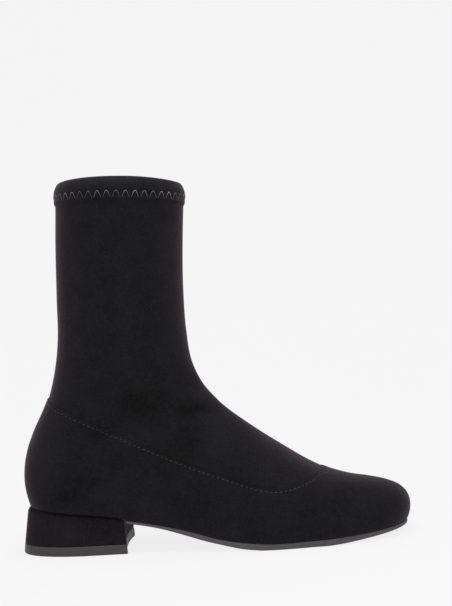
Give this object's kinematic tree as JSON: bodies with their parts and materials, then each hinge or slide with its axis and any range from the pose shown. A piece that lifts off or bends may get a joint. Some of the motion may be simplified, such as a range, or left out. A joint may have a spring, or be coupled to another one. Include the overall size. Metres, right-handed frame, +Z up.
{
  "type": "sock boot",
  "caption": "Pull-on ankle sock boot for the right foot: hollow stretch upper with folded hem, thin sole and low covered block heel.",
  "frame": {"origin": "on the floor, under the middle of the boot's bounding box, with the boot standing on its heel tip and forefoot", "axes": "+X from heel to toe, +Y to the inner side of the foot, +Z up"},
  "size_m": [0.252, 0.085, 0.2368],
  "materials": {
    "upper_suede": "matt black suede-look stretch microfibre with a short nap",
    "sole_rubber": "dark grey moulded rubber, satin edge",
    "insole_lining": "smooth black lining cloth over a padded board",
    "heel_suede": "matt black suede-look cover over a hard block",
    "heel_tip_rubber": "dark grey hard rubber, matt"
  },
  "bodies": {
    "root": {"upper": "upper_suede", "outsole": "sole_rubber", "insole": "insole_lining", "heel": "heel_suede", "heel_tip": "heel_tip_rubber"}
  },
  "joints": []
}
